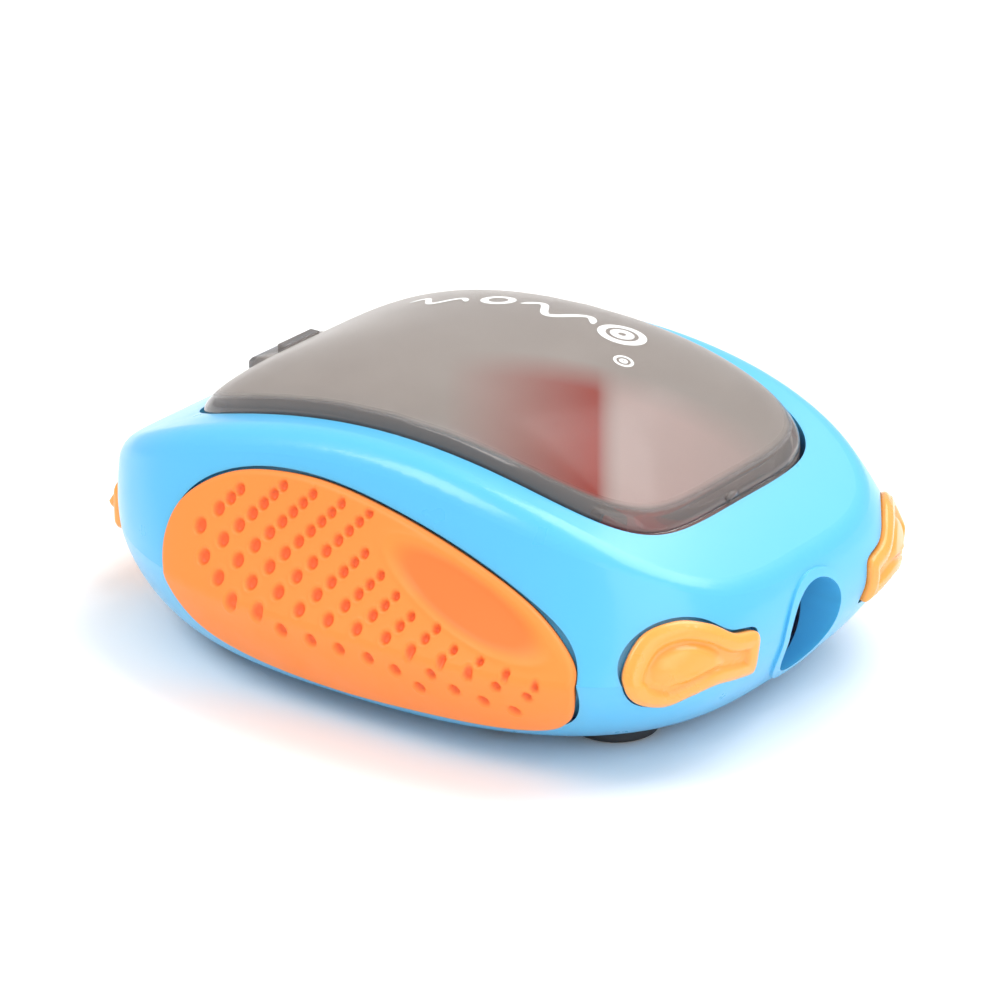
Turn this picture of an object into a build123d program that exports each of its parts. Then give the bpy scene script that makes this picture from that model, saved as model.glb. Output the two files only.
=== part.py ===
"""Desk-top pencil sharpener: oval plastic case, smoked lid, rubber grips, shuttered slot, release button.

Frame: origin on the floor under the middle of the case, +X to the front (the pencil slot),
+Y to the left side, +Z up. The case is symmetric about the plane y = 0. Millimetres.
"""
from build123d import *
import os
from math import atan, cos, degrees, hypot, pi, sin, sqrt

# ---- driving dimensions -------------------------------------------------------------------
FLOOR_Z = 1.2            # underside of the case, held off the table by the feet
PARTING_Z = 10.3         # joint plane of the two shells
WALL = 1.8               # shell wall
POCKET = 1.0             # depth of the pockets for the soft trim
PROUD = 0.6              # how far the soft trim stands out of the case
TRIM_GAP = 0.25          # gap round the soft trim
DECK_RADIUS = 64.0       # crown of the top deck along the case
DECK_X = 2.0             # where the deck is highest
DECK_Z = 25.15           # height of the deck there
SHOULDER = 3.0           # round between the sides and the deck
REAR_CUT_X = -29.9       # flat seat at the rear that carries the trim plate
REAR_PLATE_X = -32.1     # outer face of the trim plate
PLATE_HALF_WIDTH, PLATE_TAPER = 15.0, 6.0
PLATE_LOW, PLATE_SHOULDER, PLATE_TOP = 3.5, 11.2, 13.2

# case outline at four heights: z, front length, rear length, half width, front and rear squareness
BASE = (FLOOR_Z, 28.5, 27.8, 21.6, 2.4, 2.5)
BELT = (PARTING_Z, 36.0, 33.7, 27.8, 3.6, 2.5)
WAIST = (16.9, 34.4, 32.6, 24.0, 3.4, 3.3)
CROWN = (24.9, 25.2, 30.7, 20.7, 4.1, 4.0)
BELLY = 1.47             # how quickly the underside curves in below the belt

# lid
LID_X = 1.8              # middle of the lid's outline
LID_LENGTH = 25.9        # half length
LID_WIDTH = 16.5         # half width
LID_SQUARENESS = 5.0
LID_RISE = 4.9           # dome above the deck
LID_WALL = 1.3
LID_SIDE_GAP = 0.35
LID_FRONT_GAP = 0.45
LEDGE_DROP = 1.3         # ledge under the lid's rim
SKIRT = 1.2              # part of the rim below the deck
HINGE_X, HINGE_Z = 23.2, 19.0
TRUNNION_R = 1.0
EAR_IN, EAR_OUT = 12.4, 14.0
TRUNNION_END = 17.1
TAB_HALF_WIDTH = 4.3
CATCH_X = -21.4          # middle of the lid's catch tongue

# pencil path
SLOT_Z = 9.3             # axis of the slot and of the sharpener's bore
SLOT_R = 4.1             # inner radius of the slot and of the bore's entry
SLOT_STRAIGHT = 1.0      # straight flank between the slot's two round ends
LIP = 0.85               # lip round the slot
TUNNEL_X = 32.0          # inner end of the slot's tunnel

# shutter
FLAP_X, FLAP_Z = 30.55, 14.6
FLAP_DROP = 10.2
FLAP_THICKNESS = 0.8
FLAP_HALF_WIDTH = 5.5
PIN_R = 0.5
KNUCKLE_R = 1.05

# sharpener block
BLOCK_REAR, BLOCK_FRONT = -6.0, 18.4
BLOCK_HALF_WIDTH = 8.0
BLOCK_FLOOR = 4.0
ENTRY_X = 14.4           # where the straight entry ends and the cone begins
TIP_R = 0.9              # cone radius at the rear face
BLADE_THICKNESS = 0.45

# release button
BUTTON_HALF_WIDTH, BUTTON_TAPER = 11.3, 2.6
BUTTON_LOW, BUTTON_HIGH = 4.5, 9.0

# screws
SCREW_R = 0.95           # shank, held in a 0.97 mm pilot
PILOT_R = 0.97
CLEAR_R = 1.15
HEAD_R = 1.9
HEAD_HEIGHT = 1.2
RECESS_R = 2.1
CASE_SCREWS = [(x, y) for x in (-14.5, 14.5) for y in (-16.8, 16.8)]
FEET = [("front_left", 22.2, 10.7), ("front_right", 22.2, -10.7),
        ("rear_left", -22.2, 10.7), ("rear_right", -22.2, -10.7)]
FOOT_R = 4.1
CASE_SEAT_Z = 6.0        # seat of the case screws' heads
BLOCK_SEAT_Z = 2.6
KEEPER_Z = 4.4           # top of the bosses under the spring keeper
BLOCK_SCREW = (-3.0, 0.0)
KEEPER_SCREWS = [(-17.4, -5.5), (-17.4, 5.5)]

FAR = 60.0               # longer than anything in the case


# ---- shape helpers --------------------------------------------------------------------------
def box(x0, x1, y0, y1, z0, z1):
    """Box between two corners."""
    return Pos((x0 + x1) / 2, (y0 + y1) / 2, (z0 + z1) / 2) * Box(abs(x1 - x0), abs(y1 - y0), abs(z1 - z0))


def rod(x, y, z0, z1, r):
    """Upright cylinder."""
    return Pos(x, y, (z0 + z1) / 2) * Cylinder(r, abs(z1 - z0))


def rod_x(x0, x1, y, z, r):
    """Cylinder along X."""
    return Pos((x0 + x1) / 2, y, z) * Rot(0, 90, 0) * Cylinder(r, abs(x1 - x0))


def rod_y(x, y0, y1, z, r):
    """Cylinder along Y."""
    return Pos(x, (y0 + y1) / 2, z) * Rot(90, 0, 0) * Cylinder(r, abs(y1 - y0))


def oval(front, rear, width, n_front, n_rear, z=0.0, x=0.0, steps=40):
    """Closed superellipse curve with its own length and squareness in front and behind."""
    points = []
    for i in range(steps):
        a = pi + 2 * pi * i / steps
        c, s = cos(a), sin(a)
        n = n_front if c > 0 else n_rear
        length = front if c > 0 else rear
        u = abs(c) ** (2 / n) * (1 if c > 0 else -1)
        v = abs(s) ** (2 / n) * (1 if s > 0 else -1)
        points.append((x + length * u, width * v, z))
    return Spline(*points, periodic=True)


def outline_at(z):
    """Case outline measures at height z."""
    if z < PARTING_Z:
        t = (PARTING_Z - z) / (PARTING_Z - FLOOR_Z)
        k = (1 - min(t, 1.0) ** BELLY) ** (1 / BELLY)
        return [b + (p - b) * k for b, p in zip(BASE[1:], BELT[1:])]
    z0, z1, z2 = BELT[0], WAIST[0], CROWN[0]
    w0 = (z - z1) * (z - z2) / ((z0 - z1) * (z0 - z2))
    w1 = (z - z0) * (z - z2) / ((z1 - z0) * (z1 - z2))
    w2 = (z - z0) * (z - z1) / ((z2 - z0) * (z2 - z1))
    return [w0 * a + w1 * b + w2 * c for a, b, c in zip(BELT[1:], WAIST[1:], CROWN[1:])]


def section(z, inset, at=None):
    """Case outline at height z, moved inwards; 'at' is the height its measures come from."""
    front, rear, width, n_front, n_rear = outline_at(z if at is None else at)
    return Face(Wire(oval(front - inset, rear - inset, width - inset, n_front, n_rear, z)))


def deck_cutter(inset, top=40.0):
    """Everything above the deck, moved down by inset."""
    tall = box(-FAR, FAR, -FAR, FAR, 0, top)
    crown = Cylinder(DECK_RADIUS - inset, 2 * FAR)
    return tall - Pos(DECK_X, 0, DECK_Z - DECK_RADIUS) * Rot(90, 0, 0) * crown


def deck_z(x, rise=0.0):
    """Height of the deck, or of a surface that much above it, at x."""
    return DECK_Z - DECK_RADIUS + sqrt((DECK_RADIUS + rise) ** 2 - (x - DECK_X) ** 2)


def lower_form(inset=0.0):
    """Case below the belt, moved inwards by inset."""
    low = FLOOR_Z + inset
    sections = []
    for t in (1.0, 0.93, 0.8, 0.62, 0.4, 0.2, 0.0):
        source_z = PARTING_Z - t * (PARTING_Z - FLOOR_Z)
        sections.append(section(PARTING_Z - t * (PARTING_Z - low), inset, source_z))
    return loft(sections)


def upper_form(inset=0.0):
    """Case above the belt, moved inwards by inset, with a sharp deck edge."""
    return loft([section(z, inset) for z in (PARTING_Z, 13.0, 16.0, 19.0, 22.0, 26.5)]) - deck_cutter(inset)


def lid_prism(grow_sides, grow_front, z0, z1):
    """Lid outline as an upright prism."""
    curve = oval(LID_LENGTH + grow_front, LID_LENGTH + grow_sides, LID_WIDTH + grow_sides,
                 LID_SQUARENESS, LID_SQUARENESS, z0, LID_X)
    return extrude(Face(Wire(curve)), z1 - z0)


def slot_prism(grow, x0, x1):
    """Pencil slot as a prism along X."""
    r = SLOT_R + grow
    half = SLOT_STRAIGHT / 2
    body = box(x0, x1, -r, r, SLOT_Z - half, SLOT_Z + half)
    return body + rod_x(x0, x1, 0, SLOT_Z - half, r) + rod_x(x0, x1, 0, SLOT_Z + half, r)


def screw(length):
    """Pan-head screw with its seat at the origin, head up and shank down."""
    head = rod(0, 0, 0, HEAD_HEIGHT, HEAD_R)
    head = fillet(head.faces().sort_by(Axis.Z)[-1].edges(), 0.35)
    head -= box(-1.0, 1.0, -0.2, 0.2, 0.6, 2) + box(-0.2, 0.2, -1.0, 1.0, 0.6, 2)
    return head + rod(0, 0, -length, 0, SCREW_R)


def coil(radius, wire, pitch, turns):
    """Round-wire coil along +Z from the origin, starting at -X."""
    path = Rot(0, 0, 180) * Helix(pitch, pitch * turns, radius)
    section_plane = Plane(origin=path @ 0, z_dir=path % 0)
    return sweep(section_plane * Circle(wire), path=path, is_frenet=True)


# ---- trim outlines on the sides ---------------------------------------------------------------
GRIP = [(-17.4, 13.5), (-15.8, 17.2), (-10.5, 20.4), (-2.5, 21.5), (6.5, 20.6), (15.0, 18.6), (22.0, 15.8),
        (26.6, 12.2), (27.3, 9.5), (25.8, 6.2), (22.0, 4.4), (12.0, 3.9), (2.0, 3.5), (-7.0, 4.3),
        (-12.8, 6.0), (-16.3, 9.8)]
LIGHT = [(6.3, 8.3), (4.1, 8.4), (1.5, 8.75), (-1.0, 8.35), (-3.5, 7.75), (-6.3, 8.8), (-7.3, 11.0),
         (-5.0, 14.1), (-1.8, 15.0), (1.2, 14.3), (3.7, 12.9), (6.4, 12.2), (6.5, 10.2)]
LIGHT_POINT = (34.1, 15.4)      # reference point of the headlight outline on the left side
LIGHT_NORMAL = (0.931, 0.365)


def grown(points, distance):
    """Clockwise outline with each point moved outwards, square to the chord between its neighbours."""
    moved = []
    for (u0, v0), (u, v), (u1, v1) in zip(points[-1:] + points[:-1], points, points[1:] + points[:1]):
        chord = hypot(u1 - u0, v1 - v0)
        moved.append((u - (v1 - v0) / chord * distance, v + (u1 - u0) / chord * distance))
    return moved


def side_prism(grow, side):
    """Grip outline, grown by grow, pushed out to one side of the case."""
    face = Face(Wire(Spline(*[(x, 0, z) for x, z in grown(GRIP, grow)], periodic=True)))
    return extrude(face, FAR, dir=(0, side, 0))


def light_prism(grow, side):
    """Headlight outline, pushed out along its own normal on one side."""
    nx, ny = LIGHT_NORMAL[0], LIGHT_NORMAL[1] * side
    plane = Plane(origin=(LIGHT_POINT[0] - 6 * nx, LIGHT_POINT[1] * side - 6 * ny, 0),
                  x_dir=(-ny, nx, 0), z_dir=(nx, ny, 0))
    flat = Face(Wire(Spline(*[(-s * side, z) for s, z in grown(LIGHT, grow)], periodic=True)))
    return extrude(plane * flat, 14, dir=(nx, ny, 0))


def layer(outward, inward, prism):
    """Part of a prism that lies between two offsets of the case."""
    lower = (lower_form(-outward) & prism) - lower_form(inward)
    upper = (upper_form(-outward) & prism) - upper_form(inward)
    return lower + upper


# ---- case -------------------------------------------------------------------------------------
def plate_outline(half, taper, low, shoulder, top):
    """Plate outline in the YZ plane: arched top, tapered lower corners."""
    sides = Polyline((-half, shoulder), (-half, 7.0), (-half + taper, low), (half - taper, low), (half, 7.0),
                     (half, shoulder))
    arch = ThreePointArc((half, shoulder), (0, top), (-half, shoulder))
    return fillet(make_face([sides, arch]).vertices(), 1.3)


def along_x(face, x0, x1):
    """Outline in the YZ plane as a prism along X."""
    return extrude(Plane(origin=(x0, 0, 0), x_dir=(0, 1, 0), z_dir=(1, 0, 0)) * face, x1 - x0)


def plate_prism(grow, x0, x1):
    """Rear plate outline as a prism along X."""
    return along_x(plate_outline(PLATE_HALF_WIDTH + grow, PLATE_TAPER, PLATE_LOW - grow, PLATE_SHOULDER,
                                 PLATE_TOP + grow), x0, x1)


def button_prism(grow, x0, x1):
    """Outline of the button's finger block as a prism along X."""
    tall = plate_outline(BUTTON_HALF_WIDTH + grow, BUTTON_TAPER, BUTTON_LOW - grow, 10.2, 12.0 + grow)
    return along_x(tall, x0, x1) & box(x0, x1, -FAR, FAR, BUTTON_LOW - grow, BUTTON_HIGH + grow)


def cut_pockets(form, floor):
    """Case form with the pockets of the soft trim, down to the floor form."""
    for side in (-1, 1):
        for prism in (side_prism, light_prism):
            form -= prism(TRIM_GAP, side) - floor
    return form


def make_lower_shell():
    outer = lower_form()
    outer = fillet(outer.faces().sort_by(Axis.Z)[0].edges(), 0.8)
    outer = cut_pockets(outer, lower_form(POCKET))
    shell = outer - (lower_form(WALL) & box(REAR_CUT_X + 1.6, FAR, -FAR, FAR, 0, PARTING_Z))
    for x, y in CASE_SCREWS:
        shell += rod(x, y, FLOOR_Z + 1, PARTING_Z, 3.1)
    shell += rod(*BLOCK_SCREW, FLOOR_Z + 1, BLOCK_FLOOR, 3.4)
    for side in (-1, 1):
        shell += box(BLOCK_REAR, BLOCK_FRONT, 6.8 * side - 0.6, 6.8 * side + 0.6, FLOOR_Z + 1, BLOCK_FLOOR)
    for x, y in KEEPER_SCREWS:
        shell += rod(x, y, FLOOR_Z + 1, KEEPER_Z, 2.2)
    shell += slot_prism(LIP + 0.5, TUNNEL_X, 35.5) & lower_form(0.1)
    shell += slot_prism(LIP, 33, FAR) & lower_form(-0.25)
    shell -= slot_prism(0, 20, FAR)
    shell -= box(29.4, TUNNEL_X, -6.0, 6.0, 4.0, PARTING_Z)
    for x, y in CASE_SCREWS:
        shell -= rod(x, y, 0, CASE_SEAT_Z, RECESS_R) + rod(x, y, 0, PARTING_Z + 1, CLEAR_R)
    shell -= rod(*BLOCK_SCREW, 0, BLOCK_SEAT_Z, RECESS_R) + rod(*BLOCK_SCREW, 0, 6, CLEAR_R)
    for x, y in KEEPER_SCREWS:
        shell -= rod(x, y, FLOOR_Z + 0.8, 6, PILOT_R)
    for name, x, y in FEET:
        shell -= rod(x, y, 0, FLOOR_Z + 0.5, FOOT_R + 0.05)
    shell -= plate_prism(0.12, -FAR, REAR_CUT_X)
    shell -= button_prism(0.25, -FAR, -25)
    return shell


def make_upper_shell():
    outer = upper_form()
    outer = fillet(outer.faces().filter_by(GeomType.CYLINDER)[0].edges(), SHOULDER)
    outer = cut_pockets(outer, upper_form(POCKET))
    shell = outer - (upper_form(WALL) & box(REAR_CUT_X + 1.6, FAR, -FAR, FAR, 0, 40))
    ledge = lid_prism(1.2, 1.2, 10, 30) - lid_prism(-1.6, -1.6, 10, 30) - deck_cutter(LEDGE_DROP)
    ledge &= deck_cutter(LEDGE_DROP + 1.2)
    shell += ledge
    for x, y in CASE_SCREWS:
        shell += (rod(x, y, PARTING_Z, 26, 2.4) - deck_cutter(LEDGE_DROP + 0.4))
    for side in (-1, 1):
        boss = rod_y(HINGE_X, 15.35 * side, 17.5 * side, HINGE_Z, 1.9)
        boss += box(HINGE_X - 1.9, HINGE_X + 1.9, 15.35 * side, 17.5 * side, HINGE_Z, HINGE_Z + 1.8)
        shell += boss & upper_form(0.6)
        post = box(29.5, 34.8, 5.9 * side, 7.4 * side, 13.3, 20)
        shell += post & upper_form(0.8)
    shell += slot_prism(LIP + 0.5, TUNNEL_X, 35.5) & upper_form(0.1)
    shell += slot_prism(LIP, 33, FAR) & upper_form(-0.25)
    shell -= slot_prism(0, 20, FAR)
    shell -= lid_prism(LID_SIDE_GAP, LID_FRONT_GAP, 10, 40) & deck_cutter(LEDGE_DROP)
    shell -= lid_prism(LID_SIDE_GAP, LID_FRONT_GAP, 15, 40) & box(21.4, FAR, -FAR, FAR, 15, 40)
    shell -= box(-23.6, -19.5, -3.4, 3.4, 15, 30)
    for side in (-1, 1):
        shell -= rod_y(HINGE_X, 12 * side, TRUNNION_END * side + 0.2 * side, HINGE_Z, TRUNNION_R + 0.05)
    shell -= rod_y(FLAP_X, -7.45, 7.45, FLAP_Z, PIN_R + 0.01)
    for x, y in CASE_SCREWS:
        shell -= rod(x, y, PARTING_Z - 1, 17.0, PILOT_R)
    shell -= plate_prism(0.12, -FAR, REAR_CUT_X)
    return shell


def make_rear_plate():
    plate = plate_prism(0, REAR_PLATE_X, REAR_CUT_X)
    rim = fillet(plate.faces().sort_by(Axis.X)[0].edges(), 0.5)
    dish = plate_prism(-0.9, REAR_PLATE_X - 1, REAR_PLATE_X + 0.5)
    return rim - dish - button_prism(0.15, -FAR, 0)


def make_feet():
    feet = {}
    for name, x, y in FEET:
        foot = rod(x, y, 0, FLOOR_Z + 0.5, FOOT_R)
        feet["foot_" + name] = fillet(foot.faces().sort_by(Axis.Z)[0].edges(), 0.5)
    return feet


# ---- lid --------------------------------------------------------------------------------------
def lid_form(inset, skirt):
    """Solid dome over the deck, moved inwards by inset, that reaches 'skirt' below the deck."""
    rise = LID_RISE - inset
    length, width = LID_LENGTH - inset, LID_WIDTH - inset
    crest = []
    for i in range(-8, 9):
        u = sin(pi / 2 * i / 8)
        x = LID_X + length * u
        crest.append((x, deck_z(x) + rise * sqrt(max(0.0, 1 - u * u))))
    low = [(crest[-1][0], 10), (crest[0][0], 10)]
    side_view = make_face([Spline(*crest), Polyline(crest[-1], *low, crest[0])])
    along = extrude(Plane.XZ * side_view, FAR, both=True)
    arch = EllipticalCenterArc((0, DECK_RADIUS), width, rise, start_angle=0, arc_size=180)
    base = Polyline((-width, DECK_RADIUS), (-width, DECK_RADIUS - skirt), (width, DECK_RADIUS - skirt),
                    (width, DECK_RADIUS))
    centre = DECK_Z - DECK_RADIUS
    profile = Plane(origin=(DECK_X, 0, centre), x_dir=(0, 1, 0), z_dir=(1, 0, 0)) * make_face([arch, base])
    across = revolve(profile, Axis((DECK_X, 0, centre), (0, 1, 0)), 360)
    return along & across & lid_prism(-inset, -inset, 10, 40)


def make_lid():
    lid = lid_form(0, SKIRT) - lid_form(LID_WALL, SKIRT + 1)
    room = lid_form(0.4, SKIRT)
    tab_profile = Polyline((-24.1, 21.0), (-24.1, 22.4), (-20.9, 23.1), (-19.6, 23.2), (-19.6, 21.9),
                           (-21.6, 21.3), (-24.1, 21.0))
    tab = extrude(Plane.XZ * make_face(tab_profile), TAB_HALF_WIDTH, both=True)
    tab = fillet(tab.edges().filter_by(Axis.Z).sort_by(Axis.X)[0:2], 0.6)
    lid += tab - lid_form(LID_WALL, SKIRT + 1)
    tongue = box(CATCH_X - 0.5, CATCH_X + 0.5, -2.5, 2.5, 13.4, 24)
    tongue += box(CATCH_X + 0.5, CATCH_X + 1.4, -2.5, 2.5, 13.4, 14.1)
    lid += tongue & (room + box(-FAR, FAR, -FAR, FAR, 0, 20))
    for side in (-1, 1):
        ear = rod_y(HINGE_X, EAR_IN * side, EAR_OUT * side, HINGE_Z, 1.5)
        ear += box(HINGE_X - 1.5, HINGE_X + 1.5, EAR_IN * side, EAR_OUT * side, HINGE_Z, 25)
        lid += ear & (room + box(-FAR, FAR, -FAR, FAR, 0, 20.6))
        lid += rod_y(HINGE_X, (EAR_OUT - 0.5) * side, TRUNNION_END * side, HINGE_Z, TRUNNION_R)
    return lid


# ---- sharpener --------------------------------------------------------------------------------
CONE_SLOPE = (SLOT_R - TIP_R) / (ENTRY_X - BLOCK_REAR)
BLADE_X = 4.75
BLADE_HOLE_Y = 4.6
BLADE_Z = SLOT_Z + TIP_R + CONE_SLOPE * (BLADE_X - BLOCK_REAR)
BLADE_SEAT = Pos(BLADE_X, 0, BLADE_Z) * Rot(0, -degrees(atan(CONE_SLOPE)), 0)


def make_sharpener_block():
    block = box(BLOCK_REAR, 15.2, -BLOCK_HALF_WIDTH, BLOCK_HALF_WIDTH, BLOCK_FLOOR, 19)
    block -= BLADE_SEAT * box(-40, 40, -3.5, 20, 0, 20)
    back = BLOCK_REAR - 1
    cheek = Polyline((back, 15.0), (15.2, 18.0), (15.2, 30), (back, 30), (back, 15.0))
    block -= extrude(Plane.XZ * make_face(cheek), FAR, both=True)
    flange = box(15.0, BLOCK_FRONT, -10, 10, BLOCK_FLOOR, 19.4)
    block += fillet(flange.edges().filter_by(Axis.X).group_by(Axis.Z)[-1], 4.0)
    block -= box(BLOCK_REAR - 1, ENTRY_X, -3.5, 0, SLOT_Z, 30)
    block -= rod_x(ENTRY_X, FAR, 0, SLOT_Z, SLOT_R)
    cone = Cone(SLOT_R, TIP_R, ENTRY_X - BLOCK_REAR)
    block -= Pos((ENTRY_X + BLOCK_REAR) / 2, 0, SLOT_Z) * Rot(0, -90, 0) * cone
    block -= rod(*BLOCK_SCREW, 0, 7.2, PILOT_R)
    block -= BLADE_SEAT * rod(0, BLADE_HOLE_Y, -4.2, 1, PILOT_R)
    return block


def make_blade():
    half = 9.75
    profile = Polyline((-0.15, 0), (7.5, 0), (7.5, BLADE_THICKNESS), (1.2, BLADE_THICKNESS), (-0.15, 0))
    blade = extrude(Plane.YZ * make_face(profile), half, both=True)
    blade -= rod(0, BLADE_HOLE_Y, -1, 1, 1.1)
    for end in (-half, half):
        blade -= rod(end, BLADE_HOLE_Y, -1, 1, 1.3)
    return BLADE_SEAT * blade


# ---- shutter ----------------------------------------------------------------------------------
def make_shutter_flap():
    back, front = FLAP_X - FLAP_THICKNESS / 2, FLAP_X + FLAP_THICKNESS / 2
    leaf = box(back, front, -FLAP_HALF_WIDTH, FLAP_HALF_WIDTH, FLAP_Z - FLAP_DROP, FLAP_Z)
    leaf = fillet(leaf.edges().filter_by(Axis.X).group_by(Axis.Z)[0], 4.2)
    leaf += box(front - 0.1, front + 0.25, -4.0, 4.0, 12.3, 12.8)
    for side in (-1, 1):
        leaf += rod_y(FLAP_X, 2.1 * side, FLAP_HALF_WIDTH * side, FLAP_Z, KNUCKLE_R)
    leaf -= box(28, 33, -2.1, 2.1, 13.1, 17)
    return leaf - rod_y(FLAP_X, -FAR, FAR, FLAP_Z, PIN_R + 0.04)


def make_shutter_spring():
    """Coil round the pin with a straight leg off each end, along the coil's tangent."""
    radius, wire, pitch, turns = 0.9, 0.14, 0.42, 5
    path = Rot(0, 0, 180) * Helix(pitch, pitch * turns, radius)
    spring = coil(radius, wire, pitch, turns)
    for end, length in ((0, -3.0), (1, 1.9)):
        spring += extrude(Plane(origin=path @ end, z_dir=path % end) * Circle(wire), length)
    return Pos(FLAP_X, -pitch * turns / 2, FLAP_Z) * Rot(-90, 0, 0) * spring


# ---- release button ---------------------------------------------------------------------------
SPRING_X0, SPRING_X1 = -26.95, -20.6
SPRING_Z = 7.2


def make_release_button():
    low, high = BUTTON_LOW, BUTTON_HIGH
    profile = Polyline((-28.0, low), (-33.6, low), (-35.0, low + 0.9), (-35.6, high - 1.6), (-34.5, high),
                       (-28.0, high), (-28.0, low))
    block = extrude(Plane.XZ * make_face(profile), FAR, both=True) & button_prism(0, -40, -28)
    flange = box(-28.1, -27.0, -12.2, 12.2, 4.6, 9.8) & lower_form(WALL + 0.35)
    web = box(-28.1, -27.0, -4.5, 4.5, 9.0, 15.4)
    frame = box(-28.1, -18.4, -4.5, 4.5, 14.3, 15.4) - box(-24.2, CATCH_X + 1.5, -3.3, 3.3, 13, 17)
    return block + flange + web + frame


def make_button_keeper():
    plate = box(-20.5, -15.2, -8.0, 8.0, KEEPER_Z, KEEPER_Z + 1.0)
    wall = box(-20.5, -19.4, -8.0, 8.0, KEEPER_Z, 10.0)
    wall = fillet(wall.edges().filter_by(Axis.X).group_by(Axis.Z)[-1], 2.0)
    keeper = plate + wall + rod_x(-23.0, -20.4, 0, SPRING_Z, 1.25)
    for x, y in KEEPER_SCREWS:
        keeper -= rod(x, y, 0, 10, CLEAR_R)
    return keeper


def make_button_spring():
    turns = 6
    pitch = (SPRING_X1 - SPRING_X0 - 0.5) / turns
    return Pos(SPRING_X0 + 0.25, 0, SPRING_Z) * Rot(0, 90, 0) * coil(1.75, 0.22, pitch, turns)


# ---- soft trim --------------------------------------------------------------------------------
parts = {}
for kind, prism in (("grip", side_prism), ("headlight", light_prism)):
    pad = layer(PROUD, POCKET, prism(0, 1))
    parts["left_" + kind] = pad
    parts["right_" + kind] = mirror(pad, Plane.XZ)

# ---- every node -------------------------------------------------------------------------------
parts["lower_shell"] = make_lower_shell()
parts["upper_shell"] = make_upper_shell()
parts["rear_plate"] = make_rear_plate()
parts["lid"] = make_lid()
parts["sharpener_block"] = make_sharpener_block()
parts["blade"] = make_blade()
parts["blade_screw"] = BLADE_SEAT * Pos(0, BLADE_HOLE_Y, BLADE_THICKNESS) * screw(4.2)
parts["block_screw"] = Pos(*BLOCK_SCREW, BLOCK_SEAT_Z) * Rot(180, 0, 0) * screw(4.2)
upside_down = Rot(180, 0, 0)
parts["case_screws"] = Compound([Pos(x, y, CASE_SEAT_Z) * upside_down * screw(10.5) for x, y in CASE_SCREWS])
parts["keeper_screws"] = Compound([Pos(x, y, KEEPER_Z + 1.0) * screw(3.1) for x, y in KEEPER_SCREWS])
parts["shutter_flap"] = make_shutter_flap()
parts["shutter_pin"] = rod_y(FLAP_X, -7.4, 7.4, FLAP_Z, PIN_R)
parts["shutter_spring"] = make_shutter_spring()
parts["release_button"] = make_release_button()
parts["button_keeper"] = make_button_keeper()
parts["button_spring"] = make_button_spring()
parts.update(make_feet())

os.makedirs("parts", exist_ok=True)
for name, part in parts.items():
    export_step(part, f"parts/{name}.step")
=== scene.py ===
"""Desk-top pencil sharpener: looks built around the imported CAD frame.

Shapes are worked out in millimetres in the CAD frame (+X front, +Z up, floor at z = 0)
and scaled to metres when a mesh is made.
"""

import math

import bmesh
import bpy
from mathutils import Matrix, Vector
from mathutils.geometry import delaunay_2d_cdt


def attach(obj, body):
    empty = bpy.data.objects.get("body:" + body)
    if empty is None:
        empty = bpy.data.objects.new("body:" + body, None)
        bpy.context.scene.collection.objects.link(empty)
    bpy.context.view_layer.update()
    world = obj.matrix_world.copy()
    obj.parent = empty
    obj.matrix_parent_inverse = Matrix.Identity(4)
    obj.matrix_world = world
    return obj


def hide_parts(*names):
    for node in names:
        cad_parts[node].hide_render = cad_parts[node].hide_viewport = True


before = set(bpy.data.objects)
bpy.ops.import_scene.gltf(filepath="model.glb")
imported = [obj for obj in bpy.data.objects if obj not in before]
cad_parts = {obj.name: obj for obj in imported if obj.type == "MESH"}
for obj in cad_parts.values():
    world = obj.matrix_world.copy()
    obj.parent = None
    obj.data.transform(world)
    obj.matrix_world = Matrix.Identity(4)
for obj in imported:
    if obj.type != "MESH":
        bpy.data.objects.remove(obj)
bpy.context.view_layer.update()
MM = 0.001


# ---- camera and stage ------------------------------------------------------------------------
def make_camera():
    back = Vector((0.54053, -0.74517, 0.39056))
    right = Vector((0.8095, 0.5872, 0.0))
    up = back.cross(right)
    camera = bpy.data.cameras.new("camera")
    camera.sensor_width = 36.0
    camera.lens = 178.2
    camera.clip_start = 0.01
    camera.clip_end = 10
    holder = bpy.data.objects.new("camera", camera)
    bpy.context.scene.collection.objects.link(holder)
    turn = Matrix((right, up, back)).transposed().to_4x4()
    holder.matrix_world = Matrix.Translation(Vector((247.06, -338.08, 190.10)) * MM) @ turn
    bpy.context.scene.camera = holder


LIGHT_AIM = Vector((0, 0, 0.01))


def area_light(name, place, size, power):
    light = bpy.data.lights.new(name, "AREA")
    light.shape = "RECTANGLE"
    light.size, light.size_y = size
    light.energy = power
    holder = bpy.data.objects.new(name, light)
    bpy.context.scene.collection.objects.link(holder)
    holder.location = place
    holder.rotation_euler = (Vector(place) - LIGHT_AIM).to_track_quat("Z", "Y").to_euler()


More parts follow.
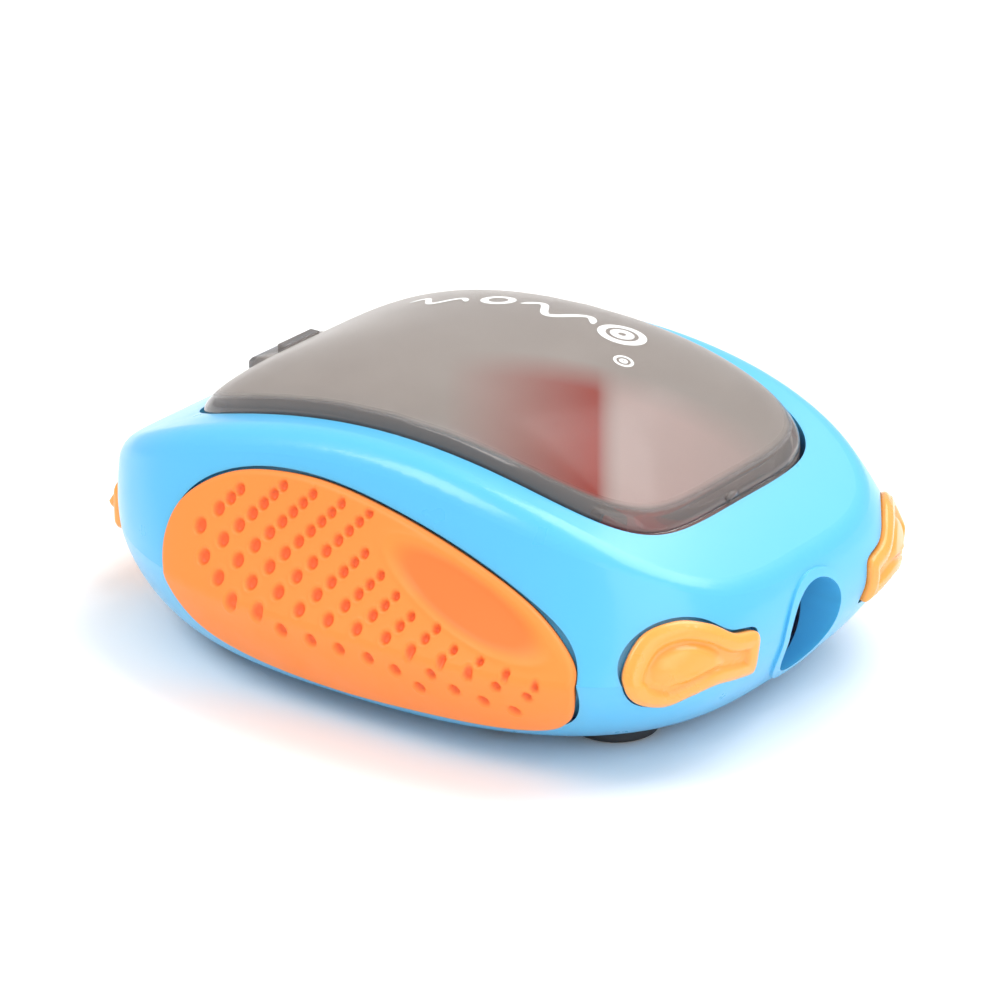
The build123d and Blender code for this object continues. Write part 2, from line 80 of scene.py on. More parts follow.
def make_stage():
    world = bpy.data.worlds.new("studio")
    world.use_nodes = True
    world.node_tree.nodes["Background"].inputs["Color"].default_value = (1, 1, 1, 1)
    world.node_tree.nodes["Background"].inputs["Strength"].default_value = 0.76
    bpy.context.scene.world = world
    bpy.context.scene.view_settings.view_transform = "Standard"
    bm = bmesh.new()
    bmesh.ops.create_grid(bm, x_segments=2, y_segments=2, size=3.0)
    mesh = bpy.data.meshes.new("floor")
    bm.to_mesh(mesh)
    mesh.shade_flat()
    floor = bpy.data.objects.new("floor", mesh)
    bpy.context.scene.collection.objects.link(floor)
    material = bpy.data.materials.new("floor")
    material.use_nodes = True
    shader = material.node_tree.nodes["Principled BSDF"]
    shader.inputs["Base Color"].default_value = (0.93, 0.93, 0.93, 1)
    shader.inputs["Roughness"].default_value = 0.6
    mesh.materials.append(material)
    area_light("key", (-0.25, -0.35, 0.55), (0.3, 0.3), 1.5)
    area_light("fill", (0.55, -0.25, 0.35), (0.6, 0.6), 1.7)
    area_light("top", (0.15, 0.35, 0.7), (0.7, 0.5), 4.5)


make_camera()
make_stage()


# ---- material helpers -------------------------------------------------------------------------
class Shader:
    """A material's node tree with short ways to add nodes."""

    def __init__(self, name):
        self.material = bpy.data.materials.new(name)
        self.material.use_nodes = True
        self.tree = self.material.node_tree
        self.bsdf = self.tree.nodes["Principled BSDF"]

    def set(self, **values):
        for key, value in values.items():
            self.bsdf.inputs[key.replace("_", " ")].default_value = value

    def node(self, kind, **values):
        made = self.tree.nodes.new(kind)
        for key, value in values.items():
            if key in made.bl_rna.properties:
                setattr(made, key, value)
            else:
                made.inputs[key.replace("_", " ")].default_value = value
        return made

    def link(self, source, target):
        self.tree.links.new(source, target)

    def noise(self, scale, detail=2.0, roughness=0.5, stretch=(1, 1, 1)):
        """Noise in object space; scale is in features per metre."""
        place = self.node("ShaderNodeTexCoord")
        mapping = self.node("ShaderNodeMapping")
        mapping.inputs["Scale"].default_value = stretch
        self.link(place.outputs["Object"], mapping.inputs["Vector"])
        noise = self.node("ShaderNodeTexNoise", Scale=scale, Detail=detail, Roughness=roughness)
        self.link(mapping.outputs["Vector"], noise.inputs["Vector"])
        return noise.outputs["Fac"]

    def remap(self, source, low, high, to_low=0.0, to_high=1.0):
        node = self.node("ShaderNodeMapRange")
        for key, value in (("From Min", low), ("From Max", high), ("To Min", to_low), ("To Max", to_high)):
            node.inputs[key].default_value = value
        self.link(source, node.inputs["Value"])
        return node.outputs["Result"]

    def mix(self, factor, a, b):
        node = self.node("ShaderNodeMix", data_type="RGBA")
        self.link(factor, node.inputs["Factor"])
        node.inputs["A"].default_value = (*a, 1)
        node.inputs["B"].default_value = (*b, 1)
        return node.outputs["Result"]

    def along(self, direction):
        """Distance in metres along a direction in object space."""
        node = self.node("ShaderNodeVectorMath", operation="DOT_PRODUCT")
        self.link(self.node("ShaderNodeTexCoord").outputs["Object"], node.inputs[0])
        node.inputs[1].default_value = direction
        return node.outputs["Value"]

    def times(self, a, b):
        node = self.node("ShaderNodeMath", operation="MULTIPLY")
        self.link(a, node.inputs[0])
        self.link(b, node.inputs[1])
        return node.outputs[0]

    def tinted(self, factor, base, color):
        """Lay a colour over another node's colour."""
        node = self.node("ShaderNodeMix", data_type="RGBA")
        self.link(factor, node.inputs["Factor"])
        self.link(base, node.inputs["A"])
        node.inputs["B"].default_value = (*color, 1)
        return node.outputs["Result"]

    def bump(self, height, distance):
        node = self.node("ShaderNodeBump", Strength=1.0, Distance=distance)
        self.link(height, node.inputs["Height"])
        return node.outputs["Normal"]


def moulded(name, color, roughness, shade=0.12, grain=900, grain_depth=0.00002, coat=0.0, subsurface=0.0,
            painted_pit_shade=None, painted_glow=0.0):
    """Moulded plastic or rubber: slight colour drift, fine texture and uneven gloss.

    The colour deep down in the pits is painted shade, laid into the dimple bottoms, and the glow is painted
    light: emission that stands in for the light that reaches an inner piece through the case."""
    s = Shader(name)
    dark = tuple(c * (1 - shade) for c in color)
    tint = s.mix(s.remap(s.noise(55, 3), 0.3, 0.7), dark, color)
    if painted_pit_shade:
        # painted shade: a darker colour laid into the pits by their depth
        tint = s.tinted(s.node("ShaderNodeAttribute", attribute_name="pit").outputs["Fac"], tint, painted_pit_shade)
    s.link(tint, s.bsdf.inputs["Base Color"])
    s.link(s.remap(s.noise(260, 4), 0.3, 0.7, roughness * 0.85, roughness * 1.15), s.bsdf.inputs["Roughness"])
    s.link(s.bump(s.noise(grain, 3), grain_depth), s.bsdf.inputs["Normal"])
    s.set(Coat_Weight=coat, Coat_Roughness=0.12, Subsurface_Weight=subsurface, Subsurface_Scale=0.002)
    # painted light: emission on a piece that is no lamp, standing in for light that reaches it through the
    # case
    s.set(Emission_Color=(*color, 1), Emission_Strength=painted_glow)
    s.bsdf.inputs["Subsurface Radius"].default_value = (1.0, 1.0, 1.0)
    return s.material


def steel(name, color, roughness, stretch):
    """Ground steel with fine scratches along one direction."""
    s = Shader(name)
    scratches = s.noise(900, 5, 0.65, stretch)
    tint = s.mix(s.remap(scratches, 0.35, 0.65), tuple(c * 0.75 for c in color), color)
    s.link(tint, s.bsdf.inputs["Base Color"])
    s.link(s.remap(scratches, 0.3, 0.7, roughness * 0.7, roughness * 1.4), s.bsdf.inputs["Roughness"])
    s.link(s.bump(scratches, 0.00001), s.bsdf.inputs["Normal"])
    s.set(Metallic=1.0)
    return s.material


BLUE = (0.085, 0.47, 0.80)
ORANGE = (0.93, 0.25, 0.035)
blue = moulded("blue_plastic", BLUE, 0.32, shade=0.03, grain=2400, grain_depth=0.000004, coat=0.35,
               subsurface=0.1)
# painted shade: the shutter and button keeper get the dark blue that light-blue plastic shows in shadow
# inside the slot
painted_shade_blue = moulded("shutter_painted_shade", (0.02, 0.12, 0.34), 0.38)
orange_plastic = moulded("orange_plastic", (0.95, 0.36, 0.06), 0.3, shade=0.04, grain=2000,
                         grain_depth=0.000004, coat=0.3, subsurface=0.1)
# painted shade: the grip's dimple bottoms get a darker red colour
orange_rubber = moulded("orange_rubber", ORANGE, 0.5, shade=0.06, grain=2600, grain_depth=0.00001,
                        painted_pit_shade=(0.82, 0.13, 0.02))
# painted light: the red block glows (emission 0.3) to stand in for light that reaches it through the case
red = moulded("red_plastic", (0.85, 0.06, 0.04), 0.4, painted_glow=0.3)
black_rubber = moulded("foot_rubber", (0.03, 0.03, 0.032), 0.65, grain=1500)
blade_steel = steel("blade_steel", (0.72, 0.72, 0.74), 0.25, (0.15, 1, 1))
plain_steel = steel("plain_steel", (0.62, 0.62, 0.64), 0.3, (1, 1, 1))

CLEAR_SMOKE = (0.40, 0.35, 0.33)
# painted light: colours laid on the lid's frost in place of light from the red block and the steel blade
# below
PAINTED_BLOCK_LIGHT = (0.66, 0.10, 0.07)
PAINTED_BLADE_LIGHT = (0.98, 0.72, 0.66)
# where the painted light of the block ends and that of the blade starts, along GLOW_ALONG
GLOW_EDGE = (0.0125, 0.0152)
GLOW_ALONG = (1, 0.7, 0)
GLOW_ACROSS = (-0.6, 1, 0)


def smoked():
    """Smoked lid plastic: frosted grain over a smoky tint, clear along its polished border, with painted
    light: soft red and pale pink tints on the frost that stand in for the light the block and the blade throw
    on it from below."""
    s = Shader("smoked_plastic")
    grain = s.noise(2300, 3, 0.6)
    cells = s.node("ShaderNodeTexVoronoi", Scale=1500)
    mask = s.node("ShaderNodeAttribute", attribute_name="frost").outputs["Fac"]
    tint = s.mix(s.remap(s.noise(60, 2), 0.3, 0.7), (0.70, 0.60, 0.54), (0.82, 0.72, 0.65))
    across = s.along(GLOW_ALONG)
    over_block = s.remap(s.along(GLOW_ACROSS), -0.0075, -0.0130)
    painted_red_band = s.times(s.remap(across, -0.004, 0.012), s.remap(across, *GLOW_EDGE, 1, 0))
    painted_steel_band = s.times(s.remap(across, *GLOW_EDGE), s.remap(across, 0.022, 0.034, 1, 0.35))
    # painted light: the block's red and the blade's pale pink laid onto the frost as colour
    tint = s.tinted(s.times(s.times(over_block, painted_red_band), mask), tint, PAINTED_BLOCK_LIGHT)
    tint = s.tinted(s.times(s.times(over_block, painted_steel_band), mask), tint, PAINTED_BLADE_LIGHT)
    edge = s.remap(mask, 0, 1, 1, 0)
    s.link(s.tinted(edge, tint, CLEAR_SMOKE), s.bsdf.inputs["Base Color"])
    s.link(s.remap(mask, 0, 1, 0.08, 0.28), s.bsdf.inputs["Roughness"])
    both = s.node("ShaderNodeMath", operation="ADD")
    s.link(grain, both.inputs[0])
    s.link(cells.outputs["Distance"], both.inputs[1])
    s.link(s.bump(s.times(both.outputs[0], mask), 0.00016), s.bsdf.inputs["Normal"])
    s.link(s.remap(mask, 0, 1, 0.75, 0.14), s.bsdf.inputs["Transmission Weight"])
    s.set(IOR=1.45, Alpha=0.94, Coat_Weight=0.25, Coat_Roughness=0.15)
    return s.material


smoked_plastic = smoked()
white_ink = moulded("white_ink", (0.85, 0.85, 0.84), 0.5)

FINISH = {"lower_shell": blue, "upper_shell": blue, "rear_plate": orange_plastic,
          "release_button": orange_plastic, "left_headlight": orange_plastic,
          "right_headlight": orange_plastic, "left_grip": orange_rubber, "right_grip": orange_rubber,
          "lid": smoked_plastic, "shutter_flap": painted_shade_blue, "sharpener_block": red, "blade": blade_steel,
          "button_keeper": painted_shade_blue}


def finish_nodes():
    for name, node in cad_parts.items():
        material = FINISH.get(name, black_rubber if name.startswith("foot") else plain_steel)
        node.data.materials.clear()
        node.data.materials.append(material)


finish_nodes()


# ---- meshes -----------------------------------------------------------------------------------
def make_piece(name, verts, faces, material, body, smooth=True):
    mesh = bpy.data.meshes.new(name)
    mesh.from_pydata([tuple(c * MM for c in v) for v in verts], [], faces)
    mesh.validate()
    bm = bmesh.new()
    bm.from_mesh(mesh)
    bmesh.ops.recalc_face_normals(bm, faces=bm.faces)
    bm.to_mesh(mesh)
    mesh.shade_smooth() if smooth else mesh.shade_flat()
    piece = bpy.data.objects.new(name, mesh)
    bpy.context.scene.collection.objects.link(piece)
    mesh.materials.append(material)
    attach(piece, body)
    return piece


# ---- the case's outer form, as in the CAD -----------------------------------------------------
FLOOR_Z, PARTING_Z, BELLY = 1.2, 10.3, 1.47
BASE = (28.5, 27.8, 21.6, 2.4, 2.5)
BELT = (PARTING_Z, 36.0, 33.7, 27.8, 3.6, 2.5)
WAIST = (16.9, 34.4, 32.6, 24.0, 3.4, 3.3)
CROWN = (24.9, 25.2, 30.7, 20.7, 4.1, 4.0)
DECK_RADIUS, DECK_X, DECK_Z = 64.0, 2.0, 25.15
LID_X, LID_LENGTH, LID_WIDTH, LID_SQUARENESS, LID_RISE = 1.8, 25.9, 16.5, 5.0, 4.9
LID_WALL, SKIRT = 1.3, 1.2


def outline_at(z):
    """Front length, rear length, half width and squareness front and rear at height z."""
    if z < PARTING_Z:
        t = min(1.0, (PARTING_Z - z) / (PARTING_Z - FLOOR_Z))
        k = (1 - t ** BELLY) ** (1 / BELLY)
        return [b + (p - b) * k for b, p in zip(BASE, BELT[1:])]
    z0, z1, z2 = BELT[0], WAIST[0], CROWN[0]
    w0 = (z - z1) * (z - z2) / ((z0 - z1) * (z0 - z2))
    w1 = (z - z0) * (z - z2) / ((z1 - z0) * (z1 - z2))
    w2 = (z - z0) * (z - z1) / ((z2 - z0) * (z2 - z1))
    return [w0 * a + w1 * b + w2 * c for a, b, c in zip(BELT[1:], WAIST[1:], CROWN[1:])]


def fullness(x, y, z):
    """Below 1 inside the case at that height, above 1 outside."""
    front, rear, width, n_front, n_rear = outline_at(z)
    length, n = (front, n_front) if x > 0 else (rear, n_rear)
    return (abs(x) / length) ** n + (abs(y) / width) ** n


def side_y(x, z):
    """Half width of the case at x and z."""
    front, rear, width, n_front, n_rear = outline_at(z)
    length, n = (front, n_front) if x > 0 else (rear, n_rear)
    return width * max(0.0, 1 - (abs(x) / length) ** n) ** (1 / n)


def deck_z(x):
    return DECK_Z - DECK_RADIUS + math.sqrt(DECK_RADIUS ** 2 - (x - DECK_X) ** 2)


def side_normal(x, z):
    """Outward normal of the case's left side."""
    e = 0.05
    slope_x = (side_y(x + e, z) - side_y(x - e, z)) / (2 * e)
    slope_z = (side_y(x, z + e) - side_y(x, z - e)) / (2 * e)
    return Vector((-slope_x, 1, -slope_z)).normalized()


def closed_curve(points, steps):
    """Smooth closed curve through points, as evenly spaced points."""
    n = len(points)
    fine = []
    for i in range(n):
        p0, p1, p2, p3 = (Vector(points[(i + k - 1) % n]) for k in range(4))
        for k in range(24):
            t = k / 24
            fine.append(0.5 * ((2 * p1) + (p2 - p0) * t + (2 * p0 - 5 * p1 + 4 * p2 - p3) * t * t
                               + (3 * p1 - p0 - 3 * p2 + p3) * t ** 3))
    lengths = [0.0]
    for a, b in zip(fine, fine[1:] + fine[:1]):
        lengths.append(lengths[-1] + (b - a).length)
    curve, k = [], 0
    for i in range(steps):
        target = lengths[-1] * i / steps
        while lengths[k + 1] < target:
            k += 1
        share = (target - lengths[k]) / (lengths[k + 1] - lengths[k])
        curve.append(fine[k].lerp(fine[(k + 1) % len(fine)], share))
    return curve


def inset_curve(curve, distance):
    """Closed anticlockwise or clockwise curve moved inwards."""
    n = len(curve)
    area = sum(a.x * b.y - a.y * b.x for a, b in zip(curve, curve[1:] + curve[:1]))
    sign = 1 if area > 0 else -1
    moved = []
    for i in range(n):
        d = (curve[(i + 1) % n] - curve[i - 1]).normalized()
        moved.append(curve[i] + Vector((-d.y, d.x)) * distance * sign)
    return moved


def inside_curve(point, curve):
    hit = False
    for a, b in zip(curve, curve[1:] + curve[:1]):
        if (a.y > point[1]) != (b.y > point[1]):
            if point[0] < (b.x - a.x) * (point[1] - a.y) / (b.y - a.y) + a.x:
                hit = not hit
    return hit


def smooth_step(t):
    t = min(1.0, max(0.0, t))
    return t * t * (3 - 2 * t)


def flat_mesh(curve, insets, spacing):
    """Plane triangles over a closed curve: rings near the edge, an even lattice inside.
    Returns points, triangles and, for each point, the ring's inset or None."""
    points, marks = [], []
    for inset in insets:
        ring = inset_curve(curve, inset)
        points += ring
        marks += [inset] * len(ring)
    last = inset_curve(curve, insets[-1] + spacing * 0.7)
    low_x, high_x = min(p.x for p in last), max(p.x for p in last)
    low_y, high_y = min(p.y for p in last), max(p.y for p in last)
    row, y = 0, low_y
    while y < high_y:
        x = low_x + (spacing / 2 if row % 2 else 0)
        while x < high_x:
            if inside_curve((x, y), last):
                points.append(Vector((x, y)))
                marks.append(None)
            x += spacing
        y += spacing * 0.866
        row += 1
    n = len(curve)
    edges = [(k * n + i, k * n + (i + 1) % n) for k in range(len(insets)) for i in range(n)]
    verts, _, tris, origin, _, _ = delaunay_2d_cdt([tuple(p) for p in points], edges, [list(range(n))],
                                                   1, 1e-6)
    order = [source[0] if source else None for source in origin]
    return verts, tris, [marks[i] if i is not None else None for i in order], order


# ---- grips ------------------------------------------------------------------------------------
GRIP = [(-17.4, 13.5), (-15.8, 17.2), (-10.5, 20.4), (-2.5, 21.5), (6.5, 20.6), (15.0, 18.6), (22.0, 15.8),
        (26.6, 12.2), (27.3, 9.5), (25.8, 6.2), (22.0, 4.4), (12.0, 3.9), (2.0, 3.5), (-7.0, 4.3),
        (-12.8, 6.0), (-16.3, 9.8)]
PROUD = 0.6
PAD_BACK = -0.9
EDGE_ROUND = 0.55
THUMB_MIDDLE, THUMB_LONG, THUMB_SHORT, THUMB_TILT = (15.8, 15.2), 9.25, 2.35, -18.6
# rows of dimples: where each starts near the upper edge, and how many it has
DIMPLE_ROWS = [(-9.7, 18.9, 4), (-5.2, 20.2, 7), (-1.9, 20.2, 8), (1.3, 20.1, 9), (4.4, 20.0, 9),
               (5.0, 16.8, 7), (7.2, 15.5, 6), (9.3, 14.3, 5), (11.4, 13.1, 4), (14.2, 12.7, 4),
               (16.4, 11.5, 4), (19.1, 11.1, 3), (21.7, 10.6, 3), (24.3, 10.1, 3)]
DIMPLE_STEP = 1.2
DIMPLE_DIRECTION = Vector((-0.66, -0.75))


def dimples():
    """Places and radii of the dimples: they grow towards the rear and down each row, which spreads."""
    found = []
    for x, z, count in DIMPLE_ROWS:
        place = Vector((x, z))
        for j in range(count):
            found.append((place.copy(), 0.56 - 0.006 * place.x + 0.16 * j / (count - 1)))
            if j < count - 1:
                place += DIMPLE_DIRECTION * DIMPLE_STEP * (1 + (j / max(1, count - 2)) ** 2)
    return found


def grip_height(point, near_dimples):
    """Height of the grip's face over the case at a point away from its edge."""
    height = PROUD
    d = Vector(point) - Vector(THUMB_MIDDLE)
    turn = math.radians(THUMB_TILT)
    u = (d.x * math.cos(turn) + d.y * math.sin(turn)) / THUMB_LONG
    v = (-d.x * math.sin(turn) + d.y * math.cos(turn)) / THUMB_SHORT
    r = math.hypot(u, v)
    if r < 1.25:
        height -= 0.26 * smooth_step((1.0 - r) / 0.3)
        height += 0.07 * math.exp(-((r - 1.05) / 0.06) ** 2)
    for place, radius in near_dimples:
        r = (Vector(point) - place).length / radius
        if r < 1.6:
            height -= 0.46 * smooth_step((1.0 - r) / 0.5)
            height += 0.07 * math.exp(-((r - 1.12) / 0.12) ** 2)
    return height


def make_pad(name, curve, edge_round, spacing, height_at, place, material):
    """The same soft pad on both sides: a face with relief, a rounded edge and a back inside its pocket."""
    insets = [0.0] + [edge_round * (1 - math.cos(math.pi / 2 * k / 4)) for k in range(1, 5)]
    verts, tris, marks, order = flat_mesh(curve, insets, spacing)
    top, depths = [], []
    for p, mark in zip(verts, marks):
        if mark is None:
            height = height_at(p)
        else:
            t = 1 - mark / edge_round
            height = PROUD - edge_round + edge_round * math.sqrt(max(0.0, 1 - t * t))
        depths.append(0.0 if mark is not None else min(1.0, max(0.0, (PROUD - height) / 0.45)))
        top.append(place(p, height))
    n = len(curve)
    where = {source: i for i, source in enumerate(order) if source is not None and source < n}
    ring = [where[i] for i in range(n)]
    back = [place(verts[i], PAD_BACK) for i in ring]
    middle = place(sum((Vector(verts[i]) for i in ring), Vector((0, 0))) / n, PAD_BACK)
    first = len(top)
    faces = [tuple(t) for t in tris]
    for i in range(n):
        j = (i + 1) % n
        faces.append((ring[i], ring[j], first + j, first + i))
        faces.append((first + i, first + j, first + n))
    for word, side in (("left", 1), ("right", -1)):
        points = [(q.x, q.y * side, q.z) for q in top + back + [middle]]
        piece = make_piece(f"{word}_{name}_pad", points, faces, material, "case")
        pit = piece.data.attributes.new("pit", "FLOAT", "POINT")
        for i, depth in enumerate(depths):
            pit.data[i].value = depth
        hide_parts(f"{word}_{name}")


def make_grips():
    cells = {}
    for pit in dimples():
        for i in range(-2, 3):
            for j in range(-2, 3):
                cells.setdefault((round(pit[0].x) + i, round(pit[0].y) + j), []).append(pit)

    def height_at(p):
        return grip_height(p, cells.get((round(p[0]), round(p[1])), []))

    def place(p, height):
        return Vector((p[0], side_y(p[0], p[1]), p[1])) + side_normal(p[0], p[1]) * height

    make_pad("grip", closed_curve(GRIP, 360), EDGE_ROUND, 0.2, height_at, place, orange_rubber)


make_grips()


# ---- headlights -------------------------------------------------------------------------------
LIGHT = [(6.5, 10.2), (6.4, 12.2), (3.7, 12.9), (1.2, 14.3), (-1.8, 15.0), (-5.0, 14.1), (-7.3, 11.0),
         (-6.3, 8.8), (-3.5, 7.75), (-1.0, 8.35), (1.5, 8.75), (4.1, 8.4), (6.3, 8.3)]
LIGHT_POINT = Vector((34.1, 15.4, 0))
LIGHT_NORMAL = Vector((0.931, 0.365, 0))
LIGHT_RIM = 1.35
LIGHT_DEPTH = 0.55
LENS_MIDDLE, LENS_LONG, LENS_SHORT, LENS_TILT = (-1.2, 11.4), 4.1, 1.9, -10.0


def on_case(base, direction):
    """Where a line through base meets the case."""
    low, high = -12.0, 9.0
    for _ in range(26):
        middle = (low + high) / 2
        if fullness(*(base + direction * middle)) > 1:
            high = middle
        else:
            low = middle
    return base + direction * low


def case_normal(p):
    steps = [Vector((0.03, 0, 0)), Vector((0, 0.03, 0)), Vector((0, 0, 0.03))]
    return Vector([fullness(*(p + d)) - fullness(*(p - d)) for d in steps]).normalized()


def make_headlights():
    curve = closed_curve(LIGHT, 240)
    turn = math.radians(LENS_TILT)

    def height_at(p):
        edge = min((c - Vector(p)).length for c in curve)
        height = PROUD + 0.12 * math.sin(math.pi * min(1, edge / LIGHT_RIM))
        height -= LIGHT_DEPTH * smooth_step((edge - LIGHT_RIM) / 0.35)
        d = Vector(p) - Vector(LENS_MIDDLE)
        u = (d.x * math.cos(turn) + d.y * math.sin(turn)) / LENS_LONG
        v = (-d.x * math.sin(turn) + d.y * math.cos(turn)) / LENS_SHORT
        lens = math.hypot(u, v + 0.35 * u * u)
        height += 0.42 * smooth_step((1 - lens) / 0.5) * smooth_step((edge - LIGHT_RIM - 0.3) / 0.4)
        if p[1] < 10.6 and p[0] > -4:
            for ridge in (1.75, 2.2):
                height += 0.10 * math.exp(-((edge - ridge) / 0.1) ** 2)
        return height

    def place(p, height):
        base = LIGHT_POINT + Vector((LIGHT_NORMAL.y, -LIGHT_NORMAL.x, 0)) * p[0] + Vector((0, 0, p[1]))
        q = on_case(base, LIGHT_NORMAL)
        return q + case_normal(q) * height

    make_pad("headlight", curve, 0.5, 0.16, height_at, place, orange_plastic)


make_headlights()


# ---- lid --------------------------------------------------------------------------------------
HINGE_X, HINGE_Z = 23.2, 19.0
TAB = [(-24.1, 21.1), (-24.1, 22.0), (-23.6, 22.5), (-20.9, 23.05), (-18.9, 23.2), (-18.9, 22.6),
       (-20.4, 21.9), (-21.8, 21.3)]
TAB_HALF_WIDTH, TONGUE_HALF_WIDTH = 4.3, 2.5
EAR_IN, EAR_OUT, EAR_R = 12.4, 14.0, 1.5
TRUNNION_IN, TRUNNION_END, TRUNNION_R = 13.5, 17.1, 1.0
TONGUE = [(-21.9, 23.6), (-20.9, 23.6), (-20.9, 14.1), (-20.0, 14.1), (-20.0, 13.4), (-21.9, 13.4)]


def dome_point(s, angle, inset=0.0):
    """Point of the dome: s is 0 at its top and 1 at its rim."""
    n = LID_SQUARENESS * s + 2 * (1 - s)
    c, k = math.cos(angle), math.sin(angle)
    x = LID_X + (LID_LENGTH - inset) * s * math.copysign(abs(c) ** (2 / n), c)
    y = (LID_WIDTH - inset) * s * math.copysign(abs(k) ** (2 / n), k)
    return Vector((x, y, deck_z(x) + (LID_RISE - inset) * math.sqrt(max(0.0, 1 - s * s))))


def dome_level(x, y):
    """How far a place is from the dome's top (0) to its rim (1)."""
    low, high = 1e-4, 1.5
    for _ in range(24):
        s = (low + high) / 2
        n = LID_SQUARENESS * min(s, 1) + 2 * (1 - min(s, 1))
        if (abs(x - LID_X) / (LID_LENGTH * s)) ** n + (abs(y) / (LID_WIDTH * s)) ** n > 1:
            low = s
        else:
            high = s
    return low


def on_dome(x, y, height):
    return Vector((x, y, deck_z(x) + LID_RISE * math.sqrt(max(0.0, 1 - dome_level(x, y) ** 2)) + height))


def helper_object(name, bm):
    mesh = bpy.data.meshes.new(name)
    bmesh.ops.recalc_face_normals(bm, faces=bm.faces)
    bm.to_mesh(mesh)
    made = bpy.data.objects.new(name, mesh)
    bpy.context.scene.collection.objects.link(made)
    return made


def prism(name, profile, y0, y1, bevel=0.0):
    """XZ profile pushed from y0 to y1."""
    bm = bmesh.new()
    near = [bm.verts.new((x * MM, y0 * MM, z * MM)) for x, z in profile]
    far = [bm.verts.new((x * MM, y1 * MM, z * MM)) for x, z in profile]
    bm.faces.new(near)
    bm.faces.new(reversed(far))
    for i in range(len(profile)):
        j = (i + 1) % len(profile)
        bm.faces.new((near[j], near[i], far[i], far[j]))
    bmesh.ops.recalc_face_normals(bm, faces=bm.faces)
    if bevel:
        bmesh.ops.bevel(bm, geom=bm.edges[:], offset=bevel * MM, segments=3, affect="EDGES", profile=0.5)
    return helper_object(name, bm)


def pin(name, x, z, y0, y1, radius):
    circle = [(x + radius * math.cos(2 * math.pi * i / 32), z + radius * math.sin(2 * math.pi * i / 32))
              for i in range(32)]
    return prism(name, circle, y0, y1)


def dome_mesh():
    """Closed shell of the dome: outer face, grooved rim, underside."""
    rings, sectors = 48, 240
    levels = [math.sin(math.pi / 2 * i / rings) for i in range(1, rings + 1)]
    angles = [2 * math.pi * k / sectors for k in range(sectors)]
    loops = [[dome_point(s, a) for a in angles] for s in levels]
    for drop, inset in ((0.12, 0), (0.2, 0.16), (0.42, 0.16), (0.5, 0), (SKIRT, 0), (SKIRT, LID_WALL)):
        loops.append([dome_point(1, a, inset) - Vector((0, 0, drop)) for a in angles])
    loops += [[dome_point(s, a, LID_WALL) for a in angles] for s in reversed(levels)]
    verts = [tuple(p) for loop in loops for p in loop]
    top, bottom = len(verts), len(verts) + 1
    verts += [tuple(dome_point(0, 0)), tuple(dome_point(0, 0, LID_WALL))]
    faces = []
    for first in range(0, top - sectors, sectors):
        for k in range(sectors):
            j = (k + 1) % sectors
            faces.append((first + k, first + j, first + sectors + j, first + sectors + k))
    for k in range(sectors):
        j = (k + 1) % sectors
        faces += [(top, k, j), (bottom, top - sectors + j, top - sectors + k)]
    return verts, faces


def make_lid():
    verts, faces = dome_mesh()
    piece = make_piece("lid_dome", verts, faces, smoked_plastic, "lid")
    helpers = [prism("tab", TAB, -TAB_HALF_WIDTH, TAB_HALF_WIDTH, 0.25),
               prism("tongue", TONGUE, -TONGUE_HALF_WIDTH, TONGUE_HALF_WIDTH)]
    for side in (-1, 1):
        ear = [(HINGE_X + EAR_R * math.cos(a), HINGE_Z + EAR_R * math.sin(a))
               for a in (math.pi + math.pi * i / 12 for i in range(13))]
        ear += [(HINGE_X + EAR_R, 20.9), (HINGE_X - EAR_R, 21.6)]
        helpers.append(prism("ear", ear, EAR_IN * side, EAR_OUT * side))
        helpers.append(pin("trunnion", HINGE_X, HINGE_Z, TRUNNION_IN * side, TRUNNION_END * side,
                           TRUNNION_R))
    for helper in helpers:
        join = piece.modifiers.new("join", "BOOLEAN")
        join.operation = "UNION"
        join.solver = "EXACT"
        join.object = helper
    graph = bpy.context.evaluated_depsgraph_get()
    joined = bpy.data.meshes.new_from_object(piece.evaluated_get(graph))
    piece.modifiers.clear()
    piece.data = joined
    for helper in helpers:
        bpy.data.objects.remove(helper)
    joined.materials.clear()
    joined.materials.append(smoked_plastic)
    joined.shade_smooth()
    joined.set_sharp_from_angle(angle=math.radians(32))
    frost = joined.attributes.new("frost", "FLOAT", "POINT")
    for i, v in enumerate(joined.vertices):
        x, y, z = (c / MM for c in v.co)
        level = dome_level(x, y)
        outer = level < 1 and z > on_dome(x, y, -0.5).z and z < on_dome(x, y, 0.05).z
        frost.data[i].value = smooth_step((0.972 - level) / 0.02) if outer else 0.0
    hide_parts("lid")


make_lid()


# ---- print on the lid -------------------------------------------------------------------------
INK_WIDTH = 0.75


def circle(x, y, radius, start=0.0, end=360.0, steps=28):
    turns = [math.radians(start + (end - start) * i / steps) for i in range(steps + 1)]
    return [(x + radius * math.cos(a), y + radius * math.sin(a)) for a in turns]


def wave(x0, x1, y, height, turns, steps=60):
    return [(x0 + (x1 - x0) * i / steps, y + height * math.sin(2 * math.pi * turns * i / steps))
            for i in range(steps + 1)]


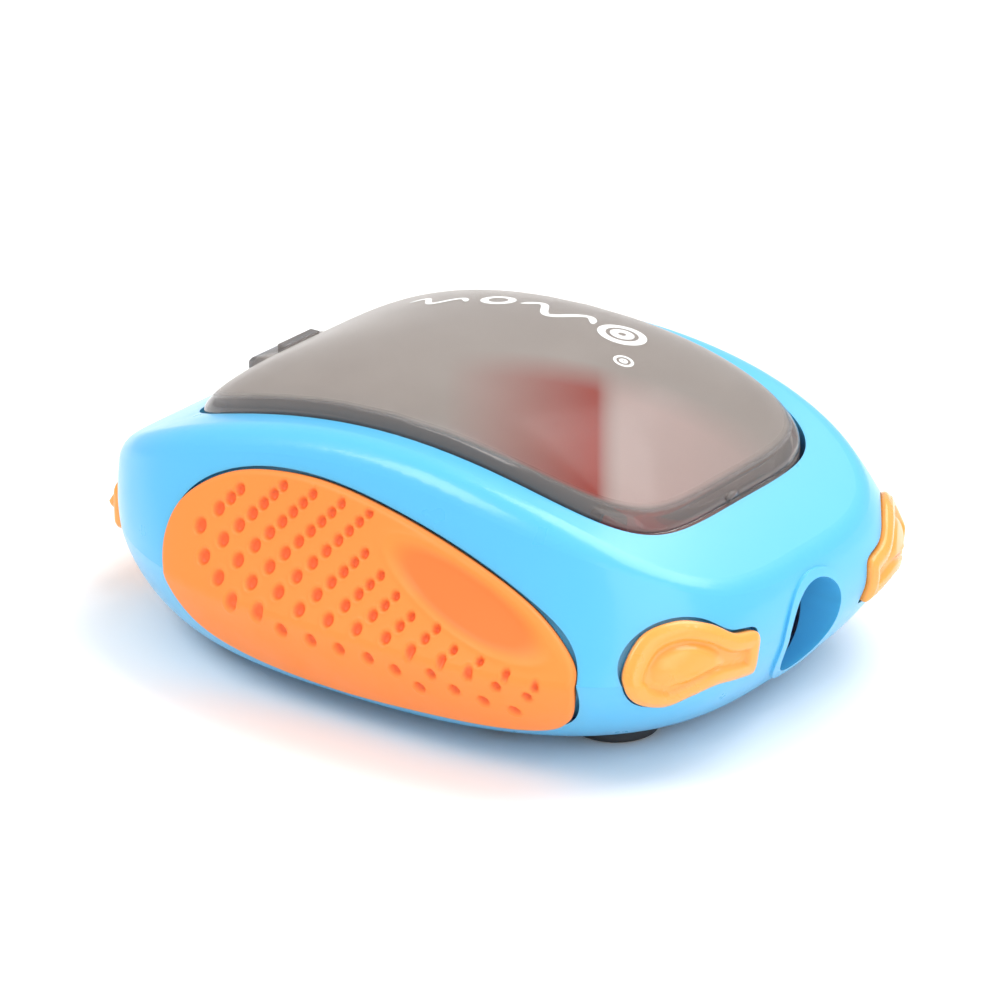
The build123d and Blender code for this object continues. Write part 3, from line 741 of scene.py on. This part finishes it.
def make_print():
    """White abstract pattern near the dome's top: waves, rings and dots."""
    strokes = [(circle(10.4, 7.0, 1.9), INK_WIDTH), (circle(10.4, 7.0, 0.75), INK_WIDTH),
               (wave(-0.6, 7.4, 6.6, 1.4, 1.5), INK_WIDTH), (circle(-3.0, 6.4, 1.3), INK_WIDTH),
               (wave(-11.8, -5.4, 4.6, 1.0, 1.5), INK_WIDTH * 0.8), (circle(13.6, 2.6, 0.8), 0.28),
               (circle(13.6, 2.6, 0.25), 0.3)]
    verts, faces = [], []
    for path, width in strokes:
        first, n = len(verts), len(path)
        closed = (Vector(path[0]) - Vector(path[-1])).length < 1e-6
        if closed:
            path, n = path[:-1], n - 1
        for i in range(n):
            before = Vector(path[i - 1]) if closed or i else Vector(path[0])
            after = Vector(path[(i + 1) % n]) if closed or i < n - 1 else Vector(path[-1])
            along = (after - before).normalized()
            across = Vector((-along.y, along.x)) * width / 2
            ends = 1.0 if closed else min(1.0, 0.35 + 0.65 * min(i, n - 1 - i) / 3)
            left, right = Vector(path[i]) + across * ends, Vector(path[i]) - across * ends
            for p, height in ((left, 0.03), (right, 0.03), (right, -0.1), (left, -0.1)):
                verts.append(tuple(on_dome(p.x, p.y, height)))
        for i in range(n if closed else n - 1):
            a, b = first + 4 * i, first + 4 * ((i + 1) % n)
            for k in range(4):
                m = (k + 1) % 4
                faces.append((a + k, a + m, b + m, b + k))
        if not closed:
            faces += [tuple(first + k for k in range(4)), tuple(first + 4 * (n - 1) + k for k in range(4))]
    make_piece("lid_print", verts, faces, white_ink, "lid", smooth=False)


make_print()


GATE_PLACE = Vector((27.65, -0.8, 20.05))
GATE_SIZE = Vector((0.32, 0.95, 0.42))


def make_gate_mark():
    """Small torn nub where the lid was moulded."""
    bm = bmesh.new()
    bmesh.ops.create_icosphere(bm, subdivisions=3, radius=1.0)
    for v in bm.verts:
        bump = 1 + 0.22 * math.sin(7 * v.co.x + 3 * v.co.z) * math.cos(6 * v.co.y)
        v.co = GATE_PLACE + v.co * GATE_SIZE * bump
    verts = [tuple(v.co) for v in bm.verts]
    faces = [tuple(v.index for v in f.verts) for f in bm.faces]
    make_piece("lid_gate_mark", verts, faces, smoked_plastic, "lid")


make_gate_mark()
